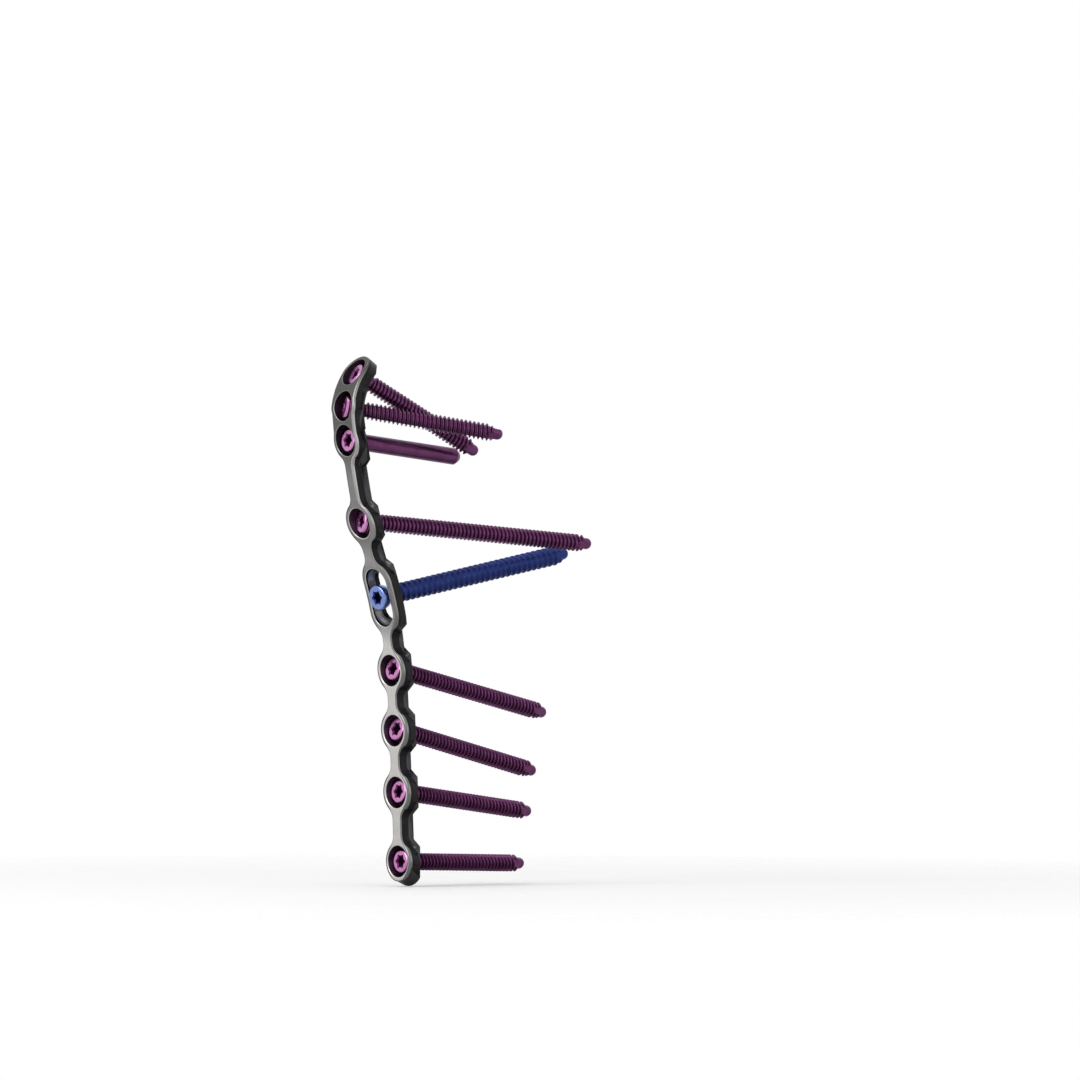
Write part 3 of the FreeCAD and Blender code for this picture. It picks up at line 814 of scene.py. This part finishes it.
def remapped(nodes, links, value, ends, new_ends=(0, 1)):
    """A value whose two ends are mapped to two others."""
    remap = nodes.new("ShaderNodeMapRange")
    remap.inputs["From Min"].default_value, remap.inputs["From Max"].default_value = ends
    remap.inputs["To Min"].default_value, remap.inputs["To Max"].default_value = new_ends
    links.new(value, remap.inputs["Value"])
    return remap.outputs["Result"]


def noise(nodes, links, place, grain, detail):
    speckle = nodes.new("ShaderNodeTexNoise")
    speckle.inputs["Scale"].default_value = 1 / grain
    speckle.inputs["Detail"].default_value = detail
    links.new(place, speckle.inputs["Vector"])
    return speckle.outputs["Fac"]


def shaded_up_plate(nodes, links, place, colour, height_shade):
    """A colour times a share that changes with the height up the plate: painted shade."""
    height = nodes.new("ShaderNodeSeparateXYZ")
    links.new(place, height.inputs["Vector"])
    low, high = height_shade[0][0], height_shade[-1][0]
    shares = nodes.new("ShaderNodeValToRGB")
    stops = shares.color_ramp.elements
    while len(stops) < len(height_shade):
        stops.new(0.5)
    for stop, (at, share) in zip(stops, height_shade):
        stop.position = (at - low) / (high - low)
        stop.color = (share, share, share, 1)
    links.new(remapped(nodes, links, height.outputs["Z"], (low, high)), shares.inputs["Fac"])
    product = nodes.new("ShaderNodeVectorMath")
    product.operation = "MULTIPLY"
    links.new(colour, product.inputs[0])
    links.new(shares.outputs["Color"], product.inputs[1])
    return product.outputs["Vector"]


def node_material(name, base, spread, rough, bump, grain, height_shade):
    """A metal with a mottled tint, a roughness that wanders and a fine bump, all procedural.

    base is the mean colour, spread how far the tint wanders, rough the lowest and highest
    roughness, bump the strength of the surface relief, grain its size in metres, and the last
    argument the painted shade that changes the colour up the plate, or None."""
    material = bpy.data.materials.new(name)
    material.use_nodes = True
    nodes, links = material.node_tree.nodes, material.node_tree.links
    shader = nodes["Principled BSDF"]
    shader.inputs["Metallic"].default_value = 1.0
    place = nodes.new("ShaderNodeTexCoord").outputs["Object"]
    tint = nodes.new("ShaderNodeValToRGB")
    low, high = tint.color_ramp.elements
    low.position, high.position = RAMP_ENDS
    low.color = (*[c * (1 - spread) for c in base], 1)
    high.color = (*[min(c * (1 + spread), 1) for c in base], 1)
    mottle = noise(nodes, links, place, TINT_GRAINS * grain, TINT_DETAIL)
    links.new(mottle, tint.inputs["Fac"])
    colour = tint.outputs["Color"]
    if height_shade:
        colour = shaded_up_plate(nodes, links, place, colour, height_shade)
    links.new(colour, shader.inputs["Base Color"])
    fine = noise(nodes, links, place, grain, FINE_DETAIL)
    links.new(remapped(nodes, links, fine, RAMP_ENDS, rough), shader.inputs["Roughness"])
    relief = nodes.new("ShaderNodeBump")
    relief.inputs["Strength"].default_value = bump
    relief.inputs["Distance"].default_value = RELIEF
    links.new(fine, relief.inputs["Height"])
    links.new(relief.outputs["Normal"], shader.inputs["Normal"])
    return material


def metals():
    made = {}
    for name, look in METALS.items():
        grain = BRUSH_GRAIN if name.startswith("plate") else ANODISED_GRAIN
        made[name] = node_material(name, grain=grain, height_shade=PAINTED_SHADE_UP_PLATE.get(name), **look)
    return made


# Studio
CAMERA_AZIMUTH = math.radians(50)
CAMERA_DISTANCE = 1.5
VIEW_HEIGHT = 44.19 * MM
VIEW_ACROSS = 18.12 * MM
VIEW_WIDTH = 148.5 * MM
SENSOR = 36.0
WORLD_LIGHT = 0.45
FLOOR_DROP = 0.05 * MM
FLOOR_SIDE = 0.6
FLOOR_TONE = (0.9, 0.9, 0.9, 1)
FLOOR_ROUGHNESS = 0.8
FLOOR_LIFT = 0.2
FLOOR_FADE = (0.07, 0.16)

# Softboxes: how far each stands back, to the right and above the middle of the picture.
LAMPS = {
    "key": dict(back=0.35, right=-0.5, up=0.3, size=0.4, power=1.9),
    "fill": dict(back=0.5, right=0.4, up=0.1, size=0.5, power=0.5),
    "top": dict(back=0.0, right=0.0, up=0.6, size=0.4, power=0.7),
}


def side_view():
    """The camera's right and its back: the directions of the picture's plane and its depth."""
    turn = CAMERA_AZIMUTH
    right = Vector((math.cos(turn), math.sin(turn), 0))
    back = Vector((math.sin(turn), -math.cos(turn), 0))
    return right, back


def camera():
    right, back = side_view()
    data = bpy.data.cameras.new("camera")
    data.sensor_width = SENSOR
    data.lens = SENSOR * CAMERA_DISTANCE / VIEW_WIDTH
    made = placed("camera", data)
    made.location = right * VIEW_ACROSS + back * CAMERA_DISTANCE + Vector((0, 0, VIEW_HEIGHT))
    made.rotation_euler = (math.pi / 2, 0, CAMERA_AZIMUTH)
    bpy.context.scene.camera = made


def lamps():
    right, back = side_view()
    middle = Vector((0, 0, VIEW_HEIGHT))
    for name, look in LAMPS.items():
        data = bpy.data.lights.new(name, "AREA")
        data.shape = "SQUARE"
        data.size = look["size"]
        data.energy = look["power"]
        made = placed(name, data)
        place = middle + back * look["back"] + right * look["right"] + Vector((0, 0, look["up"]))
        made.location = place
        made.rotation_euler = (middle - place).to_track_quat("-Z", "Y").to_euler()


def pale_world():
    """A soft pale surround that the camera, mirrors and glass see as a white background."""
    world = bpy.data.worlds.new("surround")
    bpy.context.scene.world = world
    world.use_nodes = True
    nodes, links = world.node_tree.nodes, world.node_tree.links
    light = nodes["Background"]
    seen = nodes.new("ShaderNodeBackground")
    for surround, strength in ((light, WORLD_LIGHT), (seen, 1.0)):
        surround.inputs["Color"].default_value = WHITE
        surround.inputs["Strength"].default_value = strength
    path = nodes.new("ShaderNodeLightPath")
    sees = path.outputs["Is Camera Ray"]
    for ray in ("Is Glossy Ray", "Is Transmission Ray"):
        either = nodes.new("ShaderNodeMath")
        either.operation = "MAXIMUM"
        links.new(sees, either.inputs[0])
        links.new(path.outputs[ray], either.inputs[1])
        sees = either.outputs["Value"]
    mix = nodes.new("ShaderNodeMixShader")
    links.new(sees, mix.inputs["Fac"])
    links.new(light.outputs["Background"], mix.inputs[1])
    links.new(seen.outputs["Background"], mix.inputs[2])
    links.new(mix.outputs["Shader"], nodes["World Output"].inputs["Surface"])


def floor_material():
    """Pale, lifted a little for the camera, and clear further away from the part."""
    material = bpy.data.materials.new("floor_pale")
    material.use_nodes = True
    nodes, links = material.node_tree.nodes, material.node_tree.links
    shader = nodes["Principled BSDF"]
    shader.inputs["Roughness"].default_value = FLOOR_ROUGHNESS
    shader.inputs["Base Color"].default_value = FLOOR_TONE
    shader.inputs["Emission Color"].default_value = WHITE
    lift = nodes.new("ShaderNodeMath")
    lift.operation = "MULTIPLY"
    lift.inputs[1].default_value = FLOOR_LIFT
    links.new(nodes.new("ShaderNodeLightPath").outputs["Is Camera Ray"], lift.inputs[0])
    links.new(lift.outputs["Value"], shader.inputs["Emission Strength"])
    reach = nodes.new("ShaderNodeVectorMath")
    reach.operation = "LENGTH"
    links.new(nodes.new("ShaderNodeTexCoord").outputs["Object"], reach.inputs[0])
    clear = nodes.new("ShaderNodeBsdfTransparent")
    mix = nodes.new("ShaderNodeMixShader")
    links.new(remapped(nodes, links, reach.outputs["Value"], FLOOR_FADE), mix.inputs["Fac"])
    links.new(shader.outputs["BSDF"], mix.inputs[1])
    links.new(clear.outputs["BSDF"], mix.inputs[2])
    links.new(mix.outputs["Shader"], nodes["Material Output"].inputs["Surface"])
    return material


def floor(height):
    """A pale floor that takes the shadow of the part."""
    half = FLOOR_SIDE / 2
    mesh = bpy.data.meshes.new("floor")
    corners = [(-half, -half), (half, -half), (half, half), (-half, half)]
    mesh.from_pydata([(x, y, height) for x, y in corners], [], [(0, 1, 2, 3)])
    mesh.materials.append(floor_material())
    made = placed("floor", mesh)


def dress_screws(metal):
    locking = [metal["locking_head"], metal["locking_shaft_and_shade"], metal["locking_drive_painted_shade"]]
    cortical = [metal["slot_head"], metal["slot_shaft"], metal["slot_drive_painted_shade"]]
    for name in LOCKING_SCREWS:
        threaded_screw(name, LOCKING, locking)
    smooth_peg("head_peg", locking)
    threaded_screw("slot_screw", CORTICAL, cortical)


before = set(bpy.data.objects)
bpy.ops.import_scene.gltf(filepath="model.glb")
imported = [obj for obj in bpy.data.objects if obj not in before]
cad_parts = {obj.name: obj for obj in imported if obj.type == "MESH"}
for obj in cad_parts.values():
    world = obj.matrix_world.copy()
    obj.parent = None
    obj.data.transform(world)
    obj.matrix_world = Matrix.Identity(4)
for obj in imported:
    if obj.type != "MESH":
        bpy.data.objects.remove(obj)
bpy.context.scene.view_settings.view_transform = "Standard"
cad_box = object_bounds()
metal = metals()
dress_screws(metal)
dress_plate([metal[paint] for paint in PLATE_PAINTS])
floor(cad_box[0][2] - FLOOR_DROP)
pale_world()
lamps()
camera()
